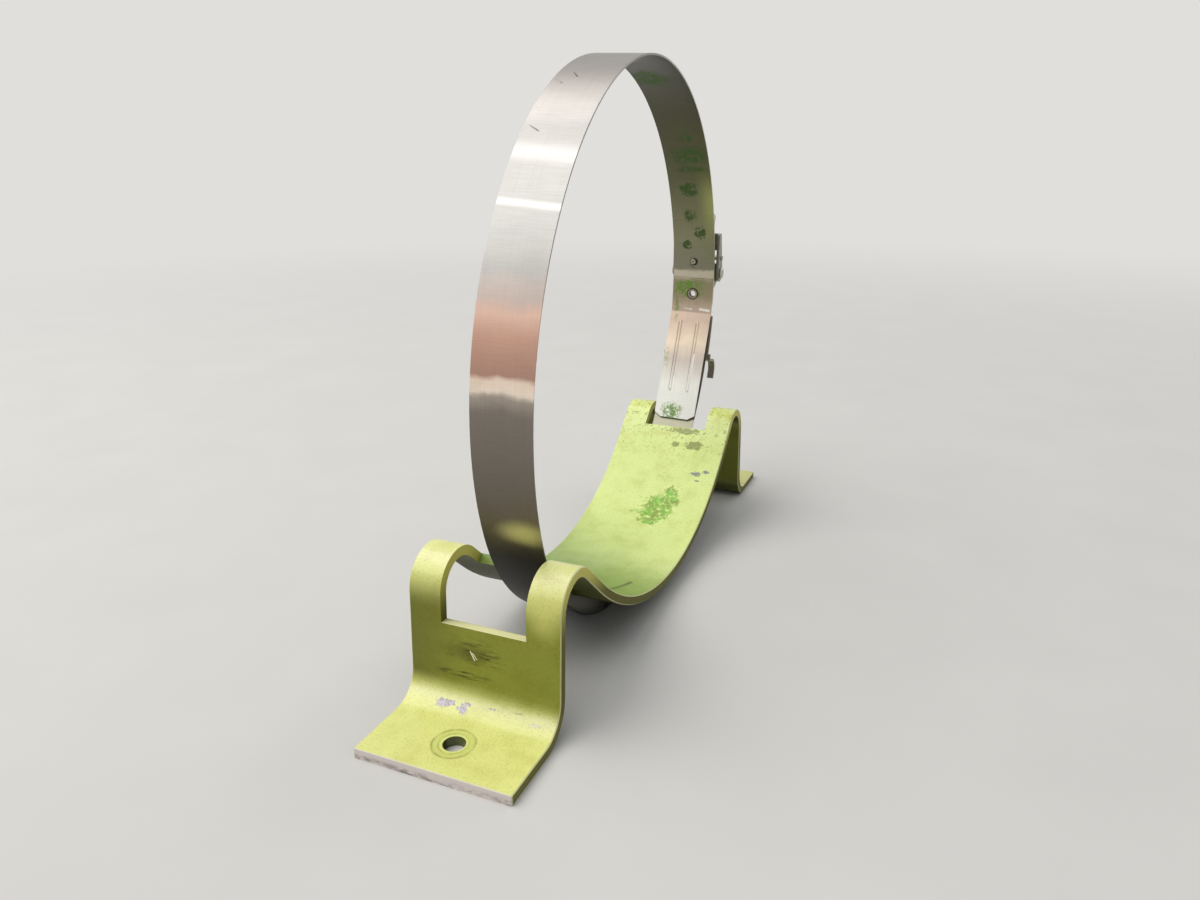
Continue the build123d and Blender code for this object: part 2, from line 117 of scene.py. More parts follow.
class Finish:
    """One material: a Principled shader and the nodes that vary it over the surface."""

    def __init__(self, name, **settings):
        """settings are the shader's own constants, by socket name with _ for a space."""
        self.material = bpy.data.materials.new(name)
        self.material.use_nodes = True
        self.tree = self.material.node_tree
        self.shader = self.tree.nodes["Principled BSDF"]
        for key, value in settings.items():
            self.shader.inputs[key.replace("_", " ")].default_value = value

    def node(self, kind, settings=None, inputs=None, output=0):
        """Adds a node of a kind, sets it up, fills its sockets with values or links, and gives one output."""
        made = self.tree.nodes.new("ShaderNode" + kind)
        for key, setting in (settings or {}).items():
            if key == "stops":
                self.fill_ramp(made.color_ramp, setting)
            else:
                setattr(made, key, setting)
        for key, value in (inputs or {}).items():
            if isinstance(value, Value):
                self.tree.links.new(value.socket, made.inputs[key])
            else:
                made.inputs[key].default_value = value
        return Value(self, made.outputs[output])

    def fill_ramp(self, ramp, stops):
        """Gives a colour ramp its stops, pairs of a position from 0 to 1 and a colour."""
        while len(ramp.elements) < len(stops):
            ramp.elements.new(1.0)
        for element, (position, colour) in zip(ramp.elements, stops):
            element.position = position
            element.color = colour

    def feed(self, socket, value):
        """Links a value to one of the shader's sockets."""
        self.tree.links.new(value.socket, self.shader.inputs[socket])

    def place(self):
        """Object coordinates in millimetres."""
        metres = self.node("TexCoord", output="Object")
        return self.vector("SCALE", metres, Scale=1 / MM)

    def facing(self):
        """The direction that the flat of the surface faces."""
        return self.node("NewGeometry", output="True Normal")

    def vector(self, operation, first, second=None, output=0, **sockets):
        inputs = {0: first, **sockets}
        if second is not None:
            inputs[1] = second
        return self.node("VectorMath", {"operation": operation}, inputs, output)

    def parts(self, vector):
        """The three numbers of a vector."""
        return [self.node("SeparateXYZ", inputs={0: vector}, output=axis) for axis in range(3)]

    def joined(self, x, y, z):
        return self.node("CombineXYZ", inputs={0: x, 1: y, 2: z})

    def step(self, value, low, high):
        """0 below low, 1 above high, and a smooth rise between."""
        limits = {"Value": value, "From Min": low, "From Max": high}
        return self.node("MapRange", {"interpolation_type": "SMOOTHSTEP"}, limits)

    def noise(self, vector, scale, detail=2.0, roughness=0.5):
        """Soft random cloud around 0.5, scale waves a millimetre."""
        return self.node("TexNoise", inputs={
            "Vector": vector, "Scale": scale, "Detail": detail, "Roughness": roughness})

    def blend(self, amount, first, second, how="MIX"):
        """first where amount is 0 and second where it is 1, as colours."""
        return self.node("Mix", {"data_type": "RGBA", "blend_type": how, "clamp_factor": True},
                         {0: amount, 6: first, 7: second}, 2)

    def ramp(self, value, stops):
        return self.node("ValToRGB", {"stops": stops}, {0: value})

    def bump(self, height, strength, depth):
        """depth is the height in millimetres that a change from 0 to 1 stands for."""
        return self.node("Bump", inputs={"Height": height, "Strength": strength, "Distance": depth * MM})

    def patch(self, place, centre, reach, ragged=0.8, grain=0.6, soft=0.15):
        """1 inside an ellipsoid round centre with half sizes reach, its rim broken up by noise:
        the rise of 1 - |(place - centre) / reach| + ragged * (noise - 0.5) from 0 to soft."""
        offset = self.vector("DIVIDE", self.vector("SUBTRACT", place, centre), reach)
        distance = self.vector("LENGTH", offset, output="Value")
        rough = self.noise(place, grain, 4.0, 0.65)
        return self.step(1.0 - distance + ragged * (rough - 0.5), 0.0, soft)

    def stroke(self, place, start, end, width):
        """1 along the straight mark from start to end, fading out within width of it, with a ragged rim."""
        run = [b - a for a, b in zip(start, end)]
        length = math.sqrt(sum(side * side for side in run))
        heading = tuple(side / length for side in run)
        offset = self.vector("SUBTRACT", place, start)
        along = self.vector("DOT_PRODUCT", offset, heading, output="Value")
        along = self.between(along, 0.0, length)
        nearest = self.vector("SCALE", self.joined(*heading), Scale=along)
        distance = self.vector("LENGTH", self.vector("SUBTRACT", offset, nearest), output="Value")
        wobble = self.noise(place, 1.5, 3.0)
        return self.step(1.0 - distance / width + 0.7 * (wobble - 0.5), 0.0, 0.5)

    def between(self, value, low, high):
        """value held between low and high."""
        return self.node("Clamp", inputs={0: value, 1: low, 2: high})

    def most(self, *values):
        """The largest of several values."""
        top = values[0]
        for value in values[1:]:
            top = top.maths("MAXIMUM", top, value)
        return top


class Spot:
    """A place on the surface, in millimetres, and the way that the surface faces there."""

    def __init__(self, finish):
        self.place = finish.place()
        self.x, self.y, self.z = finish.parts(self.place)
        self.facing = finish.facing()
        self.facing_x, self.facing_y, self.facing_z = finish.parts(self.facing)


def leg_shade_share(finish, spot):
    """1 at the height where the legs stand upright and are painted in shade, fading to 0 through the bends
    and the crests.
    """
    above_bend = finish.step(spot.z + 0.03 * spot.x, 4.6, 11.5)
    below_crest = finish.step(46.5 - spot.z, 0.0, 13.5)
    return above_bend * below_crest


def level_primer(finish, spot):
    """Olive yellow on the level parts, greener on the back hump and duller on the back foot."""
    olive_yellow = paint(236, 238, 146)
    hump_green = paint(232, 244, 146)
    foot_olive = paint(190, 192, 104)
    back_hump = finish.step(spot.y, 60.0, 80.0) * finish.step(106.0 - spot.y, 0.0, 3.0)
    back_foot = finish.step(spot.y, 106.0, 110.0)
    colour = finish.blend(back_hump, olive_yellow, hump_green)
    return finish.blend(back_foot * 0.5, colour, foot_olive)


def shaded_leg_primer(finish, spot):
    """The legs are painted a darker olive as shade, darkest towards their left side."""
    leg_shade_olive = paint(148, 152, 62)
    shaded_olive = paint(124, 126, 52)
    return finish.blend(finish.step(-spot.x, 2.0, 25.0), leg_shade_olive, shaded_olive)


def painted_leg_highlights(finish, spot, colour):
    """Painted highlights: the front leg's right post is painted a paler yellow as if lit, and its crest and
    its bend carry a pale painted highlight.
    """
    lit_post_yellow = paint(224, 222, 128)
    highlight_yellow = paint(252, 250, 198)
    lit_right_post = finish.patch(
        spot.place, (20.0, -101.0, 38.5), (8.0, 9.0, 11.0), ragged=0.3, grain=0.1, soft=0.9)
    crest = finish.step(3.0 - abs(spot.z - CREST_LIGHT_HEIGHT), 0.0, 3.0) * finish.step(-spot.y, 84.0, 92.0)
    bend = finish.step(2.6 - abs(spot.z - BEND_LIGHT_HEIGHT), 0.0, 2.6) * finish.step(-spot.y, 95.0, 98.0)
    colour = finish.blend(lit_right_post * 0.75, colour, lit_post_yellow)
    return finish.blend(finish.most(crest, bend) * 0.5, colour, highlight_yellow)


def saddle_primer(finish, spot):
    """The saddle's upper face is lime, with painted shade turning it deeper green towards its front."""
    lime = paint(229, 244, 160)
    shaded_green = paint(130, 157, 80)
    cloud = finish.noise(spot.place, 0.03, 3.0)
    front_shade = -spot.y - 0.5 * spot.x + 24.0 * (cloud - 0.5)
    return finish.blend(finish.step(front_shade, -34.0, 34.0), lime, shaded_green)


def mottled(finish, colour, top_side, broad, fine, grit):
    """Brushed-on primer is never even: broad clouds, a fine speckle, and grit on the upper faces."""
    gritty = finish.step(grit, 0.52, 0.72) * top_side
    colour = finish.blend(gritty * 0.35, colour, paint(180, 186, 150), "MULTIPLY")
    colour = finish.blend(finish.step(broad, 0.40, 0.75) * 0.6, colour, paint(232, 228, 204), "MULTIPLY")
    return finish.blend(finish.step(fine, 0.48, 0.78) * 0.6, colour, paint(206, 208, 176), "MULTIPLY")


def painted_shade_faces(finish, spot, colour, underside_shade):
    """The legs' inner faces and the underside are painted dark as shade."""
    inner_shade_olive = paint(84, 88, 38)
    underside_shade_olive = paint(48, 54, 18)
    facing_in = finish.step(-spot.y.sign() * spot.facing_y, 0.5, 0.9)
    inner_leg_shade = facing_in * finish.step(abs(spot.y), 92.0, 94.0)
    colour = finish.blend(inner_leg_shade * 0.6, colour, inner_shade_olive)
    return finish.blend(underside_shade * 0.85, colour, underside_shade_olive)


def cut_edges(finish, spot, colour, on_edge, broad):
    """Edges left by the shears are a duller olive, painted darker as shade low down and lighter towards the
    crests, with a pale line beside the faces, and window sills carry a bright painted highlight.
    """
    shaded_edge_olive = paint(98, 94, 34)
    lit_crest_edge = paint(208, 202, 100)
    sill_highlight_yellow = paint(250, 246, 190)
    pale_arris = paint(226, 224, 170)
    edge_light_and_shade = finish.blend(finish.step(spot.z, 30.0, 46.0), shaded_edge_olive, lit_crest_edge)
    colour = finish.blend(on_edge * 0.9, colour, edge_light_and_shade)
    # The window sills' upper faces carry a painted highlight.
    in_window = finish.step(abs(spot.y), 96.0, 97.0) * finish.step(spot.z, 27.5, 28.5)
    sill_highlight = finish.step(spot.facing_z, 0.80, 0.95) * in_window * finish.step(34.0 - spot.z, 0.0, 1.0)
    colour = finish.blend(sill_highlight * 0.9, colour, sill_highlight_yellow)
    arris = finish.step(abs(spot.facing_x), 0.35, 0.5) - on_edge
    return finish.blend(arris * (0.5 + 0.5 * broad), colour, pale_arris)


def washer_rings(finish, spot, colour):
    """The bores are painted dark as shade, and a washer has pressed two rings round the bolt hole of the
    front foot.
    Gives the colour and the rings' mask."""
    bore_shade_green = paint(70, 80, 26)
    rim_yellow = paint(226, 236, 150)
    worn_green = paint(196, 208, 104)
    ring_olive = paint(134, 138, 62)
    from_hole = finish.vector("LENGTH", finish.joined(spot.x, abs(spot.y) - FOOT_HOLE, 0.0), output="Value")
    # The bore walls are painted dark as shade.
    bore = finish.step(4.2 - from_hole, 0.0, 0.3) * finish.step(0.9 - abs(spot.facing_z), 0.0, 0.2)
    colour = finish.blend(bore * 0.9, colour, bore_shade_green)

    foot_face = finish.step(-spot.y, 108.0, 110.0) * finish.step(spot.facing_z, 0.8, 0.95)
    waver = 0.4 * (finish.noise(spot.place, 0.35, 2.0) - 0.5)
    reach = from_hole + 0.03 * spot.x + waver
    inner_ring = finish.step(0.5 - abs(reach - INNER_RING), 0.0, 0.5) * foot_face
    outer_ring = finish.step(0.6 - abs(reach - WASHER_RING), 0.0, 0.6) * foot_face
    rim = finish.step(INNER_RING - reach, 0.0, 0.5) * foot_face
    under_washer = finish.step(WASHER_RING - reach, 0.0, 0.5) * foot_face - rim
    patchy = finish.step(finish.noise(spot.place, 0.25, 3.0), 0.35, 0.62)
    colour = finish.blend(rim * 0.45, colour, rim_yellow)
    colour = finish.blend(under_washer * 0.40, colour, worn_green)
    marks = finish.most(inner_ring * (0.15 + 0.30 * patchy), outer_ring * (0.30 + 0.40 * patchy))
    return finish.blend(marks, colour, ring_olive), finish.most(inner_ring, outer_ring)


def leg_rubbing(finish, spot):
    """Dirt dragged across the front leg under its window, and dull smears in the bend below it."""
    place = spot.place
    streaks = finish.noise(finish.joined(spot.x * 0.12, spot.y, spot.z * 1.3), 1.0, 4.0, 0.7)
    wide = finish.patch(place, (-2.5, -100.3, 21.0), (13.0, 4.0, 6.5), ragged=0.6, grain=0.25, soft=0.8)
    low = finish.patch(place, (-7.0, -100.8, 13.6), (12.0, 4.0, 1.7), ragged=0.8, grain=0.35, soft=0.6)
    smudge = finish.patch(place, (-4.5, -100.3, 20.8), (9.5, 4.0, 4.4), ragged=1.2, grain=0.3, soft=0.9)
    bend = finish.patch(place, (12.0, -103.5, 7.5), (18.0, 6.0, 5.0), ragged=0.8, grain=0.3, soft=0.8)
    dragged = finish.step(streaks, 0.46, 0.62) * finish.most(wide, low)
    smears = finish.step(finish.noise(finish.joined(spot.x * 0.3, spot.y, spot.z), 1.1, 4.0, 0.7), 0.54, 0.68)
    return finish.most(dragged, smudge * 0.6, smears * bend * 0.5)


def leg_scratches(finish, spot):
    """Two short scratches in the middle of the front leg and one high on its left post."""
    return finish.most(
        finish.stroke(spot.place, (-4.4, -100.2, 21.8), (-3.0, -100.3, 19.2), 0.28),
        finish.stroke(spot.place, (-3.6, -100.2, 21.4), (-2.2, -100.3, 19.6), 0.2),
        finish.stroke(spot.place, (-20.6, -101.0, 32.0), (-19.2, -101.0, 30.6), 0.25))


def bend_chips(finish, spot):
    """Chips down to grey metal along the bend of the front foot."""
    place = spot.place
    return finish.most(
        finish.patch(place, (-12.6, -104.8, 5.1), (2.6, 1.5, 1.5), ragged=2.2, grain=0.55),
        finish.patch(place, (-9.8, -104.4, 5.5), (1.6, 0.8, 0.8), ragged=2.0, grain=0.8),
        finish.patch(place, (-5.4, -105.2, 4.7), (1.9, 1.9, 1.9), ragged=2.4, grain=0.55),
        finish.patch(place, (-4.2, -104.0, 6.0), (1.5, 0.7, 0.7), ragged=2.0, grain=0.8),
        finish.patch(place, (4.6, -103.7, 6.4), (3.0, 0.5, 0.5), ragged=2.2, grain=1.2),
        finish.patch(place, (18.5, -104.6, 5.2), (2.2, 0.6, 0.6), ragged=2.2, grain=1.2) * 0.5)


def saddle_chips(finish, spot):
    """Three small chips near the saddle's right edge."""
    place = spot.place
    return finish.most(
        finish.patch(place, (16.2, 57.4, 26.1), (2.4, 1.1, 1.1), ragged=3.2, grain=1.2),
        finish.patch(place, (20.4, 58.6, 26.9), (1.5, 0.9, 0.9), ragged=2.6, grain=1.4),
        finish.patch(place, (17.4, 54.2, 24.3), (1.2, 0.7, 0.7), ragged=2.8, grain=1.4))


def saddle_scuffs(finish, spot, colour):
    """Bright green rubbing in the middle of the saddle, with crumbs of it around.
    Gives the colour and the rubbing's mask."""
    place = spot.place
    olive_scuff = paint(128, 158, 68)
    bright_scuff = paint(120, 196, 66)
    crumb_green = paint(112, 150, 58)
    rubbed = finish.most(
        finish.patch(place, (5.0, 38.0, 15.6), (8.5, 9.0, 8.0), ragged=2.2, grain=0.22, soft=0.2),
        finish.patch(place, (8.4, 46.5, 19.4), (3.6, 5.0, 4.0), ragged=2.0, grain=0.4, soft=0.2),
        finish.patch(place, (4.2, 29.5, 12.4), (4.4, 2.2, 3.0), ragged=2.0, grain=0.4, soft=0.3))
    trail = finish.patch(place, (12.0, 31.0, 13.0), (15.0, 13.0, 7.0), ragged=0.9, grain=0.2, soft=1.0)
    above = finish.patch(place, (3.0, 54.0, 24.2), (5.0, 4.0, 4.0), ragged=0.9, grain=0.4, soft=0.7)
    beside = finish.patch(place, (-13.0, 44.0, 18.5), (6.0, 5.0, 4.0), ragged=0.9, grain=0.4, soft=0.9)
    flakes = finish.step(finish.noise(place, 0.62, 6.0, 0.80), 0.43, 0.49)
    crumbs = finish.step(finish.noise(place, 1.3, 5.0, 0.75), 0.55, 0.62)
    scuff = flakes * rubbed
    scattered = crumbs * finish.most(trail * 0.45, above, beside * 0.4, rubbed * 0.6)
    tone = finish.blend(finish.step(finish.noise(place, 0.30, 3.0), 0.40, 0.60), olive_scuff, bright_scuff)
    colour = finish.blend(scuff * 0.85, colour, tone)
    return finish.blend(scattered * 0.85, colour, crumb_green), scuff


def window_stains(finish, spot, colour):
    """Olive stains, specks and yellowing on the back hump, up by its window."""
    place = spot.place
    stain_olive = paint(126, 134, 72)
    speck_olive = paint(136, 146, 56)
    old_yellow = paint(206, 198, 96)
    stain = finish.most(
        finish.patch(place, (11.6, 68.8, 35.2), (3.8, 2.2, 2.2), ragged=3.4, grain=0.45, soft=0.1),
        finish.patch(place, (3.0, 68.2, 34.8), (1.8, 1.4, 1.4), ragged=3.2, grain=0.60, soft=0.1),
        finish.patch(place, (5.5, 74.0, 39.8), (8.0, 1.6, 1.6), ragged=3.0, grain=0.50, soft=0.2))
    stain = stain * finish.step(finish.noise(place, 0.8, 5.0, 0.8), 0.36, 0.44)
    colour = finish.blend(stain * 0.8, colour, stain_olive)
    hump = finish.step(spot.y, 58.0, 76.0) * finish.step(101.0 - spot.y, 0.0, 3.0)
    hump = hump * finish.step(spot.facing_z, 0.0, 0.4)
    specks = finish.step(finish.noise(place, 0.55, 5.0, 0.75), 0.55, 0.63) * hump
    colour = finish.blend(specks * 0.75, colour, speck_olive)
    yellowed = finish.step(finish.noise(place, 0.22, 4.0, 0.7), 0.50, 0.66) * hump
    return finish.blend(yellowed * 0.4, colour, old_yellow)


def drag_mark(finish, spot, colour):
    """One dark drag mark low in the saddle."""
    drag = finish.stroke(spot.place, (14.2, -36.0, 14.8), (15.8, -21.0, 10.4), 1.1)
    return finish.blend(drag * 0.8, colour, paint(78, 92, 54))


def bare_metal(finish, spot, colour, chips, tip, worn_tip, fine):
    """Bare metal in the chips and on the foot tips, a pale line beside the tips, and grime low on them."""
    line_yellow = paint(232, 230, 205)
    chip_light = paint(184, 177, 188)
    chip_dark = paint(142, 134, 146)
    tip_metal = paint(228, 217, 211)
    grime_brown = paint(112, 98, 90)
    saddle_chip_grey = paint(132, 134, 138)
    tip_line = finish.step(abs(spot.y), FOOT_TIP - 0.9, FOOT_TIP - 0.3) - tip
    grime = finish.step(finish.noise(finish.joined(spot.x * 0.5, spot.y, spot.z), 0.4, 4.0, 0.7), 0.40, 0.62)
    low = finish.step(2.3 - spot.z, 0.0, 1.8)
    chip_tone = finish.blend(finish.step(fine, 0.40, 0.65), chip_light, chip_dark)
    colour = finish.blend(tip_line * 0.55, colour, line_yellow)
    colour = finish.blend(chips, colour, chip_tone)
    colour = finish.blend(worn_tip, colour, tip_metal)
    colour = finish.blend(grime * tip * low * 0.8, colour, grime_brown)
    return finish.blend(saddle_chips(finish, spot) * 0.9, colour, saddle_chip_grey)


def primer_finish():
    """Yellow-green zinc primer: satin and faintly mottled, limier inside the saddle, worn in places, with
    painted highlights and shade.
    """
    finish = Finish("primer_plate", Specular_IOR_Level=0.08, Coat_Roughness=0.24)
    spot = Spot(finish)
    broad = finish.noise(spot.place, 0.11, 4.0, 0.6)
    fine = finish.noise(spot.place, 1.6, 3.0, 0.7)
    grit = finish.noise(spot.place, 3.6, 2.0, 0.6)
    orange_peel = finish.noise(spot.place, 0.9, 3.0)
    # upright is where the legs are painted a darker olive as shade.
    upright = leg_shade_share(finish, spot)
    top_side = finish.step(spot.facing_z, 0.25, 0.55)
    # Faces turned down are painted dark as shade.
    underside_shade = finish.step(-spot.facing_z, 0.15, 0.60)
    on_edge = finish.step(abs(spot.facing_x), 0.90, 0.98)
    in_saddle = finish.step(SADDLE_REACH - abs(spot.y), 0.0, 9.0) * top_side

    plain = finish.blend(upright, level_primer(finish, spot), shaded_leg_primer(finish, spot))
    plain = painted_leg_highlights(finish, spot, plain)
    colour = finish.blend(in_saddle, plain, saddle_primer(finish, spot))
    colour = mottled(finish, colour, top_side, broad, fine, grit)
    colour = painted_shade_faces(finish, spot, colour, underside_shade)
    colour = cut_edges(finish, spot, colour, on_edge, broad)
    colour, rings = washer_rings(finish, spot, colour)

    rub = leg_rubbing(finish, spot)
    scratches = leg_scratches(finish, spot)
    colour = finish.blend(rub * 0.9, colour, paint(64, 62, 28))
    colour = finish.blend(scratches, colour, paint(236, 238, 205))
    colour, scuff = saddle_scuffs(finish, spot, colour)
    colour = window_stains(finish, spot, colour)
    colour = drag_mark(finish, spot, colour)

    chips = bend_chips(finish, spot)
    tip = finish.step(abs(spot.y), FOOT_TIP - 0.45, FOOT_TIP - 0.05)
    worn_tip = tip * finish.step(fine + 0.5 * broad, 0.35, 0.55)
    bare = finish.most(worn_tip, chips)
    finish.feed("Base Color", bare_metal(finish, spot, colour, chips, tip, worn_tip, fine))
    finish.feed("Roughness", 0.32 + 0.16 * fine + 0.10 * broad + 0.15 * rub + 0.05 * bare)
    finish.feed("Metallic", 0.25 * chips)
    finish.feed("Coat Weight", 0.85 * (1.0 - 0.8 * upright) * (1.0 - on_edge) * (1.0 - underside_shade))
    relief = 0.30 * orange_peel + 0.25 * fine - 0.9 * bare - 0.5 * rings - 0.4 * scratches + 0.35 * scuff
    finish.feed("Normal", finish.bump(relief, 0.55, 0.12))
    return finish.material


def strip_grain(finish, spot):
    """Fine lines across the strip and fainter ones along it, as rolling and brushing leave them.
    Along the strip they follow the arc round the band's centre."""
    around = finish.node("Math", {"operation": "ARCTAN2"}, {0: spot.y, 1: spot.z - BAND_CENTRE_HEIGHT})
    along = around * BAND_CENTRE_HEIGHT
    cross_lines = finish.noise(finish.joined(along * 2.4, spot.x * 0.10, 0.0), 1.0, 4.0, 0.7)
    long_lines = finish.noise(finish.joined(along * 0.03, spot.x * 3.2, 7.0), 1.0, 3.0, 0.6)
    return cross_lines, long_lines


def by_height(finish, height, *stops):
    """A colour that changes with height, from pairs of a height in millimetres and a colour."""
    return finish.ramp(height / RAMP_SPAN, [(stop / RAMP_SPAN, colour) for stop, colour in stops])


def band_front_reflections(finish, level):
    """The front run from the saddle up, its reflections painted in: near black, brown-grey, a pale rim,
    copper, and grey to the crown.
    """
    return by_height(
        finish, level,
        (34, paint(34, 32, 28)), (47, paint(56, 54, 44)), (56, paint(104, 98, 76)), (64, paint(112, 104, 92)),
        (76, paint(124, 116, 107)), (95, paint(138, 130, 121)), (99.6, paint(178, 166, 155)),
        (101, paint(255, 238, 220)), (104, paint(250, 228, 208)), (105.4, paint(190, 150, 134)),
        (115, paint(212, 168, 148)), (121, paint(228, 191, 172)), (125, paint(192, 176, 168)),
        (133, paint(156, 154, 151)), (142, paint(146, 145, 143)), (168, paint(141, 139, 137)),
        (180, paint(184, 178, 174)), (190, paint(150, 146, 143)))


def band_back(finish, level):
    """The back run's outside: grey, brown below and palest high up under the crown."""
    return by_height(
        finish, level,
        (40, paint(150, 146, 136)), (90, paint(186, 182, 174)), (150, paint(206, 203, 198)),
        (190, paint(178, 174, 168)))


def band_lining_reflections(finish, level):
    """The inner face, with painted reflection and shade: greenish and darker towards the crown."""
    return by_height(
        finish, level,
        (46, paint(132, 130, 114)), (60, paint(176, 170, 160)), (112, paint(146, 142, 126)),
        (124, paint(148, 144, 122)), (150, paint(106, 105, 84)), (176, paint(86, 84, 68)),
        (191, paint(78, 76, 66)))


def painted_band_highlights(finish, spot, level, inside, colour):
    """Painted highlights and reflections in the steel: a highlight over the joint, a reflection up the back
    run's inside, and an olive reflection low on the front.
    """
    joint_highlight = paint(224, 212, 196)
    rim_reflection = paint(186, 188, 132)
    olive_reflection = paint(200, 194, 142)
    back_inside = inside * finish.step(spot.y, 60.0, 70.0)
    joint_highlight_share = finish.step(2.6 - abs(level - JOINT_LIGHT_HEIGHT), 0.0, 1.4) * back_inside
    rim = finish.step(spot.x, 3.0, 11.0) * finish.step(17.0 - abs(spot.z - RIM_LIGHT_HEIGHT), 0.0, 16.0)
    olive = finish.patch(spot.place, (9.0, -89.4, 57.5), (11.0, 7.0, 6.4), ragged=0.3, grain=0.1, soft=0.9)
    colour = finish.blend(joint_highlight_share * 0.85, colour, joint_highlight)
    colour = finish.blend(rim * back_inside * 0.6, colour, rim_reflection)
    return finish.blend(olive * (1.0 - inside) * 0.85, colour, olive_reflection)


def painted_cross_reflections(finish, spot, inside):
    """Two bright painted reflections of lights across the front run, high up."""
    tilt = spot.z + 0.09 * spot.x
    soft_band = finish.step(3.6 - abs(tilt - UPPER_SHEEN_HEIGHT), 0.0, 3.6) * 0.7
    sharp_band = finish.step(1.5 - abs(tilt - LOWER_SHEEN_HEIGHT), 0.0, 1.5)
    return finish.most(soft_band, sharp_band) * finish.step(-spot.y, 30.0, 50.0) * (1.0 - inside)


def crown_marks(finish, spot):
    """Small dents and drag lines on the crown."""
    place = spot.place
    return finish.most(
        finish.stroke(place, (-1.0, -41.6, 181.9), (3.4, -44.6, 180.2), 0.55),
        finish.stroke(place, (3.2, -37.0, 184.0), (6.4, -40.8, 182.4), 0.35),
        finish.stroke(place, (-2.4, -50.0, 177.4), (0.4, -56.0, 173.2), 0.32),
        finish.stroke(place, (0.2, -61.2, 169.0), (4.6, -63.2, 167.2), 0.30),
        finish.stroke(place, (-4.4, -48.8, 178.0), (-3.4, -49.8, 177.5), 0.45))


def band_transfer(finish, spot):
    """Green primer rubbed off on the inside of the back run: flaky smudges and loose dots."""
    place = spot.place
    smudged = finish.most(
        finish.patch(place, (2.6, 31.0, 187.0), (8.5, 9.0, 5.0), ragged=1.2, grain=0.35, soft=0.4),
        finish.patch(place, (5.2, 66.5, 166.0), (3.4, 2.6, 2.6), ragged=1.4, grain=0.5, soft=0.3),
        finish.patch(place, (4.5, 73.5, 160.0), (10.5, 6.5, 6.5), ragged=1.2, grain=0.35, soft=0.6),
        finish.patch(place, (3.0, 79.0, 154.6), (9.0, 2.4, 2.4), ragged=1.2, grain=0.35, soft=0.6),
        finish.patch(place, (1.2, 85.4, 146.0), (4.8, 4.0, 4.2), ragged=1.4, grain=0.5, soft=0.3),
        finish.patch(place, (-0.2, 92.0, 134.6), (3.4, 3.6, 4.6), ragged=1.5, grain=0.5, soft=0.6),
        finish.patch(place, (3.6, 95.0, 127.0), (3.0, 3.0, 3.4), ragged=1.8, grain=0.6, soft=0.3),
        finish.patch(place, (-3.0, 97.0, 121.0), (2.6, 3.0, 2.4), ragged=1.8, grain=0.6, soft=0.3))
    dotted = finish.patch(place, (4.0, 62.0, 165.0), (10.0, 32.0, 34.0), ragged=0.8, grain=0.2, soft=0.9)
    smudges = finish.step(finish.noise(place, 0.55, 5.0, 0.76), 0.44, 0.47) * smudged
    dots = finish.step(finish.noise(place, 0.60, 3.0, 0.6), 0.61, 0.65) * dotted
    return finish.most(smudges, dots)


def band_finish():
    """Thin stainless strip with its reflections painted in: pale above, coppery half way down its front, dull
    brown-grey near the saddle.
    """
    finish = Finish("band_steel", Metallic=1.0)
    spot = Spot(finish)
    cross_lines, long_lines = strip_grain(finish, spot)
    cloud = finish.noise(spot.place, 0.10, 3.0)
    level = spot.z + 5.0 * (cloud - 0.5)

    # Inside is where the surface faces the middle of the loop.
    inward = finish.joined(0.0, -spot.y, BAND_CENTRE_HEIGHT - spot.z)
    inside = finish.step(finish.vector("DOT_PRODUCT", spot.facing, inward, output="Value"), 20.0, 40.0)
    front_run = finish.step(-spot.y, -18.0, 4.0)
    outside = finish.blend(front_run, band_back(finish, level), band_front_reflections(finish, level))
    colour = finish.blend(inside, outside, band_lining_reflections(finish, level))
    colour = painted_band_highlights(finish, spot, level, inside, colour)
    crossed = finish.step(cross_lines, 0.35, 0.75)
    drawn = finish.step(long_lines, 0.40, 0.80)
    colour = finish.blend(crossed * 0.10, colour, paint(150, 146, 140), "MULTIPLY")
    colour = finish.blend(drawn * 0.12, colour, paint(140, 136, 130), "MULTIPLY")
    # Two painted reflections of lights across the front run, in pale grey.
    cross_reflections = painted_cross_reflections(finish, spot, inside)
    colour = finish.blend(cross_reflections, colour, paint(162, 160, 158))

    # Old pale glue along the lower rim of the coppery zone.
    glue = finish.patch(spot.place, (-4.5, -95.0, 102.6), (7.0, 6.0, 1.9), ragged=1.6, grain=0.5)
    colour = finish.blend(glue * (1.0 - inside) * 0.6, colour, paint(236, 218, 198))
    marks = crown_marks(finish, spot)
    colour = finish.blend(marks * 0.85, colour, paint(84, 76, 70))
    transfer = band_transfer(finish, spot) * inside
    finish.feed("Base Color", finish.blend(transfer * 0.95, colour, paint(50, 82, 10)))
    finish.feed("Metallic", 1.0 - 0.95 * transfer)
    finish.feed("Roughness", 0.27 + 0.12 * cross_lines + 0.06 * cloud + 0.25 * transfer - 0.08 * cross_reflections)
    relief = 0.15 * cross_lines + 0.12 * long_lines - 0.9 * marks + 0.8 * transfer
    finish.feed("Normal", finish.bump(relief, 0.30, 0.05))
    return finish.material


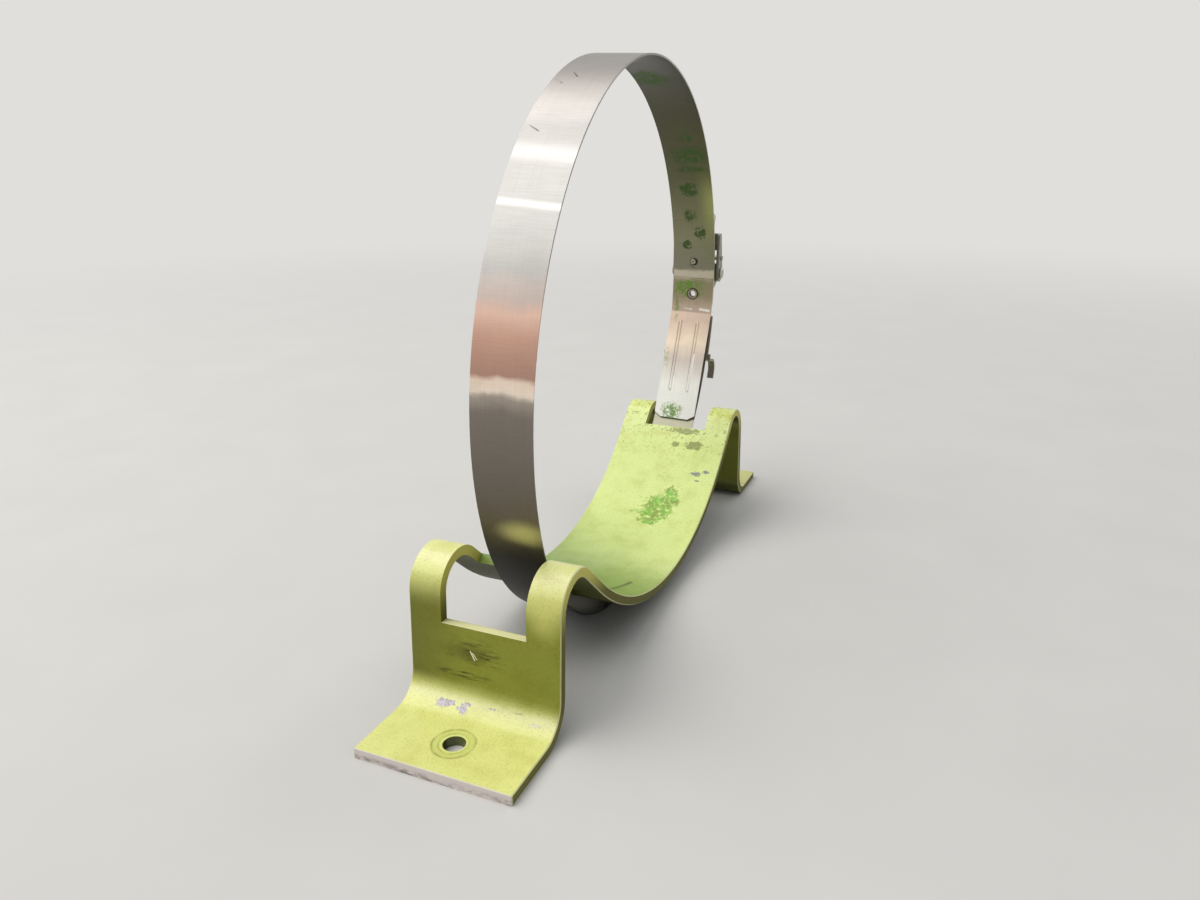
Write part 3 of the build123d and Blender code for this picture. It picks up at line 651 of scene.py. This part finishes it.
def rib_highlights_and_shade(finish, spot, inside, colour):
    """Painted highlights on the right sides of the pressed ribs and on the kink above them, and painted shade
    along the ribs' left sides.
    """
    place = spot.place
    lights = finish.most(
        finish.stroke(place, (2.7, 86.0, 56.4), (2.9, 92.8, 71.4), 0.55),
        finish.stroke(place, (-5.5, 85.7, 55.6), (-5.4, 88.2, 61.0), 0.4),
        finish.stroke(place, (-5.2, 101.0, 91.6), (-1.2, 101.0, 91.2), 0.8),
        finish.stroke(place, (2.8, 101.0, 91.4), (7.0, 101.0, 90.9), 0.8))
    rib_shade = finish.most(
        finish.stroke(place, (1.3, 86.2, 56.4), (1.9, 98.4, 85.0), 0.35),
        finish.stroke(place, (-6.9, 86.0, 56.0), (-6.4, 98.3, 85.4), 0.35))
    # A brownish painted shade along the ribs, then a near-white painted highlight.
    colour = finish.blend(rib_shade * inside * 0.5, colour, paint(120, 108, 84))
    return finish.blend(lights * inside * 0.9, colour, paint(255, 253, 246))


def tongue_transfer(finish, spot):
    """Green primer rubbed off round the eyelet, at the tongue's tip and down its left side."""
    place = spot.place
    smudged = finish.most(
        finish.patch(place, (-3.0, 100.6, 101.2), (9.0, 5.0, 5.4), ragged=0.9, grain=0.4, soft=0.5),
        finish.patch(place, (-4.2, 82.0, 46.6), (6.2, 5.0, 5.0), ragged=1.0, grain=0.45, soft=0.5),
        finish.patch(place, (-8.2, 99.0, 92.0), (1.8, 6.0, 9.0), ragged=1.0, grain=0.5, soft=0.8) * 0.8,
        finish.patch(place, (-10.0, 93.0, 68.0), (1.6, 6.0, 9.0), ragged=1.0, grain=0.5, soft=0.8) * 0.6)
    return finish.step(finish.noise(place, 0.75, 5.0, 0.75), 0.44, 0.50) * smudged


def tongue_finish():
    """The tongue under the joint, of the same strip, its reflections and shade painted in by height: bright,
    a little rosy, primer rubbed on its ends.
    """
    finish = Finish("tongue_steel", Metallic=1.0)
    spot = Spot(finish)
    cross_lines, long_lines = strip_grain(finish, spot)
    cloud = finish.noise(spot.place, 0.15, 3.0)
    # Colour by height: painted reflections and shade on the strip.
    colour = by_height(
        finish, spot.z + 6.0 * (cloud - 0.5),
        (44, paint(242, 242, 234)), (58, paint(240, 239, 230)), (69, paint(208, 196, 186)),
        (77, paint(236, 218, 194)), (86, paint(206, 182, 166)), (92, paint(206, 184, 166)),
        (97, paint(170, 156, 130)), (104, paint(160, 152, 124)), (108, paint(214, 202, 188)))
    drawn = finish.step(long_lines, 0.40, 0.80)
    crossed = finish.step(cross_lines, 0.40, 0.80)
    colour = finish.blend(drawn * 0.15, colour, paint(150, 142, 136), "MULTIPLY")
    colour = finish.blend(crossed * 0.10, colour, paint(150, 144, 138), "MULTIPLY")
    inside = finish.step(-spot.facing_y, 0.3, 0.6)
    colour = rib_highlights_and_shade(finish, spot, inside, colour)
    transfer = tongue_transfer(finish, spot) * inside
    finish.feed("Base Color", finish.blend(transfer * 0.9, colour, paint(100, 142, 34)))
    finish.feed("Metallic", 1.0 - 0.9 * transfer)
    finish.feed("Roughness", 0.24 + 0.10 * cross_lines + 0.25 * transfer)
    finish.feed("Normal", finish.bump(0.15 * cross_lines + 0.15 * long_lines + 0.8 * transfer, 0.30, 0.05))
    return finish.material


def worked_steel_finish(name, light, dark, roughness, wear):
    """Plain steel of the latch parts: clouds between a light and a dark tone, dark specks and brush lines."""
    finish = Finish(name, Metallic=1.0)
    place = finish.place()
    x, y, z = finish.parts(place)
    cloud = finish.noise(place, 0.35, 4.0, 0.6)
    fine = finish.noise(place, 2.4, 3.0, 0.7)
    lines = finish.noise(finish.joined(x * 2.6, y * 0.3, z * 0.3), 1.0, 3.0, 0.6)
    colour = finish.blend(finish.step(cloud, 0.30, 0.75) * 0.6, light, dark)
    colour = finish.blend(finish.step(fine, 0.60, 0.80) * wear, colour, paint(78, 72, 60))
    finish.feed("Base Color", colour)
    finish.feed("Roughness", roughness + 0.14 * cloud + 0.10 * fine)
    finish.feed("Normal", finish.bump(0.4 * lines + 0.4 * fine, 0.30, 0.05))
    return finish.material


def ended_rivet_finish(name, centre, bore, rim, ring_tone):
    """Rivet steel with a hollow painted dark as shade, bore millimetres in radius round centre, inside a ring
    out to rim, and painted shade beyond the rim.
    """
    finish = Finish(name, Metallic=1.0)
    place = finish.place()
    distance = finish.vector("LENGTH", finish.vector("SUBTRACT", place, centre), output="Value")
    fine = finish.noise(place, 2.0, 3.0, 0.7)
    # Painted shade in the hollow and beyond the rim.
    dark = finish.step(bore + 0.3 - distance, 0.0, 0.3)
    outer_shade = finish.step(distance, rim, rim + 0.2)
    colour = finish.blend(fine, ring_tone, paint(140, 132, 118))
    colour = finish.blend(outer_shade, colour, paint(66, 60, 48))
    colour = finish.blend(dark, colour, paint(34, 30, 26))
    finish.feed("Base Color", colour)
    finish.feed("Roughness", 0.30 + 0.15 * fine + 0.3 * dark)
    finish.feed("Normal", finish.bump(fine, 0.2, 0.05))
    return finish.material


def dress(finishes):
    """Gives every node the finish of its own name, or else of its material slot."""
    slots = {entry["node"]: entry["material_slot"] for entry in frame["record"]["subparts"]}
    for name, node in frame["nodes"].items():
        material = finishes.get(name) or finishes[slots[name]]
        node.data.materials.clear()
        node.data.materials.append(material)


def stage_surface(name, points_across, points_along, shape):
    """A grid mesh: shape takes the two parameter grids, 0 to 1 each, and gives the x, y and z grids."""
    steps_across = np.linspace(0, 1, points_across)
    steps_along = np.linspace(0, 1, points_along)
    across, along = np.meshgrid(steps_across, steps_along, indexing="ij")
    corners = np.stack(shape(across, along), axis=-1).reshape(-1, 3)
    rows, columns = np.meshgrid(np.arange(points_across - 1), np.arange(points_along - 1), indexing="ij")
    first = (rows * points_along + columns).ravel()
    faces = np.stack([first, first + points_along, first + points_along + 1, first + 1], axis=1)
    mesh = bpy.data.meshes.new(name)
    mesh.from_pydata(corners.tolist(), [], faces.tolist())
    mesh.polygons.foreach_set("use_smooth", np.ones(len(faces), dtype=bool))
    mesh.update()
    made = bpy.data.objects.new(name, mesh)
    bpy.context.scene.collection.objects.link(made)
    return made


def pale_floor():
    """A pale floor that curves up into a wall behind the object: a straight run, a quarter circle and a
    straight rise, one after the other along the second parameter, square to the line of sight."""
    near, far, bend, rise, half_width = -3.0, 1.6, 0.9, 2.4, 4.5
    turn = math.radians(VIEW_TURN)
    quarter = bend * math.pi / 2
    total = (far - near) + quarter + rise

    def sweep(across, along):
        gone = along * total
        angle = np.clip((gone - (far - near)) / bend, 0, math.pi / 2)
        up_wall = np.clip(gone - (far - near) - quarter, 0, None)
        depth = near + np.minimum(gone, far - near) + bend * np.sin(angle)
        height = bend * (1 - np.cos(angle)) + up_wall
        side = (across * 2 - 1) * half_width
        x = side * math.cos(turn) - depth * math.sin(turn)
        y = side * math.sin(turn) + depth * math.cos(turn)
        return x, y, height

    floor = stage_surface("pale_floor", points_across=2, points_along=260, shape=sweep)
    finish = Finish("pale_floor", Roughness=0.85)
    place = finish.place()
    mottle = finish.noise(place, 0.02, 3.0)
    finish.feed("Base Color", finish.blend(mottle, paint(206, 205, 202), paint(214, 213, 210)))

    # Away from the object the floor and wall show an even pale tone to the eye, in metal and through glass.
    seen = finish.node("LightPath", output="Is Camera Ray")
    in_gloss = finish.node("LightPath", output="Is Glossy Ray")
    through = finish.node("LightPath", output="Is Transmission Ray")
    distance = finish.vector("LENGTH", place, output="Value")
    share = finish.step(distance, LIT_FLOOR, EVEN_FLOOR) * finish.most(seen, in_gloss, through)
    even = finish.node("Emission", inputs={"Color": paint(224, 223, 220), "Strength": 1.0})
    lit = Value(finish, finish.shader.outputs[0])
    surface = finish.node("MixShader", inputs={0: share, 1: lit, 2: even})
    finish.tree.links.new(surface.socket, finish.tree.nodes["Material Output"].inputs["Surface"])
    floor.data.materials.append(finish.material)


def room_light():
    """A soft even room: the world lights surfaces at a plain level and shows pale to the eye and in metal."""
    world = bpy.data.worlds.new("room")
    bpy.context.scene.world = world
    world.use_nodes = True
    tree = world.node_tree
    glow = tree.nodes["Background"]
    glow.inputs["Color"].default_value = paint(236, 238, 242)
    glow.inputs["Strength"].default_value = ROOM_LIGHT
    shown = tree.nodes.new("ShaderNodeBackground")
    shown.inputs["Color"].default_value = paint(226, 226, 225)
    shown.inputs["Strength"].default_value = ROOM_SHOWN
    path = tree.nodes.new("ShaderNodeLightPath")
    seen_or_glossy = tree.nodes.new("ShaderNodeMath")
    seen_or_glossy.operation = "MAXIMUM"
    shows_room = tree.nodes.new("ShaderNodeMath")
    shows_room.operation = "MAXIMUM"
    mix = tree.nodes.new("ShaderNodeMixShader")
    tree.links.new(path.outputs["Is Camera Ray"], seen_or_glossy.inputs[0])
    tree.links.new(path.outputs["Is Glossy Ray"], seen_or_glossy.inputs[1])
    tree.links.new(seen_or_glossy.outputs[0], shows_room.inputs[0])
    tree.links.new(path.outputs["Is Transmission Ray"], shows_room.inputs[1])
    tree.links.new(shows_room.outputs[0], mix.inputs[0])
    tree.links.new(glow.outputs[0], mix.inputs[1])
    tree.links.new(shown.outputs[0], mix.inputs[2])
    tree.links.new(mix.outputs[0], tree.nodes["World Output"].inputs["Surface"])


def softbox(name, place, aim, size, watts, tint):
    """A rectangular lamp at place, in metres, turned to face aim."""
    lamp = bpy.data.lights.new(name, "AREA")
    lamp.shape = "RECTANGLE"
    lamp.size, lamp.size_y = size
    lamp.energy = watts
    lamp.color = tint
    made = bpy.data.objects.new(name, lamp)
    made.location = place
    made.rotation_euler = (Vector(aim) - Vector(place)).to_track_quat("-Z", "Y").to_euler()
    bpy.context.scene.collection.objects.link(made)


def lamps():
    """A broad warm lamp overhead and a faint cool one behind."""
    softbox("overhead_softbox", place=(-0.90, -0.50, 1.75), aim=(0.0, 0.0, 0.05), size=(2.2, 2.2),
            watts=43.0, tint=(1.0, 0.985, 0.95))
    softbox("back_fill", place=(0.6, 1.5, 1.3), aim=(0.0, 0.0, 0.08), size=(1.6, 1.2),
            watts=7.0, tint=(0.96, 0.98, 1.0))


def set_camera():
    """Sets up the camera: forward from its turn and dip, right level with the floor, then rolled."""
    turn, dip, roll = (math.radians(angle) for angle in (VIEW_TURN, VIEW_DIP, VIEW_ROLL))
    forward = Vector((-math.sin(turn) * math.cos(dip), math.cos(turn) * math.cos(dip), -math.sin(dip)))
    level = Vector((math.cos(turn), math.sin(turn), 0.0))
    upright = level.cross(forward)
    right = level * math.cos(roll) + upright * math.sin(roll)
    up = upright * math.cos(roll) - level * math.sin(roll)
    lens = bpy.data.cameras.new("camera")
    lens.lens = VIEW_LENS
    lens.sensor_width = 36.0
    lens.clip_start = 0.01
    camera = bpy.data.objects.new("camera", lens)
    axes = Matrix((right, up, -forward)).transposed()
    camera.matrix_world = Matrix.Translation(VIEW_PLACE) @ axes.to_4x4()
    bpy.context.scene.collection.objects.link(camera)
    bpy.context.scene.camera = camera


set_camera()
room_light()
lamps()
pale_floor()
dress({
    "primer_plate": primer_finish(),
    "band_steel": band_finish(),
    "underlap_tongue": tongue_finish(),
    "base_rivet": ended_rivet_finish(
        "base_rivet", centre=(-0.75, 99.4, 113.4), bore=0.2, rim=1.1, ring_tone=paint(206, 200, 188)),
    "eyelet_rivet": ended_rivet_finish(
        "eyelet_rivet", centre=(-0.94, 101.2, 98.5), bore=1.5, rim=2.4, ring_tone=paint(158, 148, 136)),
    "latch_steel": worked_steel_finish(
        "latch_steel", light=paint(154, 150, 140), dark=paint(130, 125, 112), roughness=0.30, wear=0.25),
    "rivet_steel": worked_steel_finish(
        "rivet_steel", light=paint(190, 186, 178), dark=paint(164, 158, 146), roughness=0.26, wear=0.2),
    "bail_wire": worked_steel_finish(
        "bail_wire", light=paint(186, 182, 172), dark=paint(162, 156, 144), roughness=0.28, wear=0.2),
})
bpy.context.scene.view_settings.view_transform = "Standard"
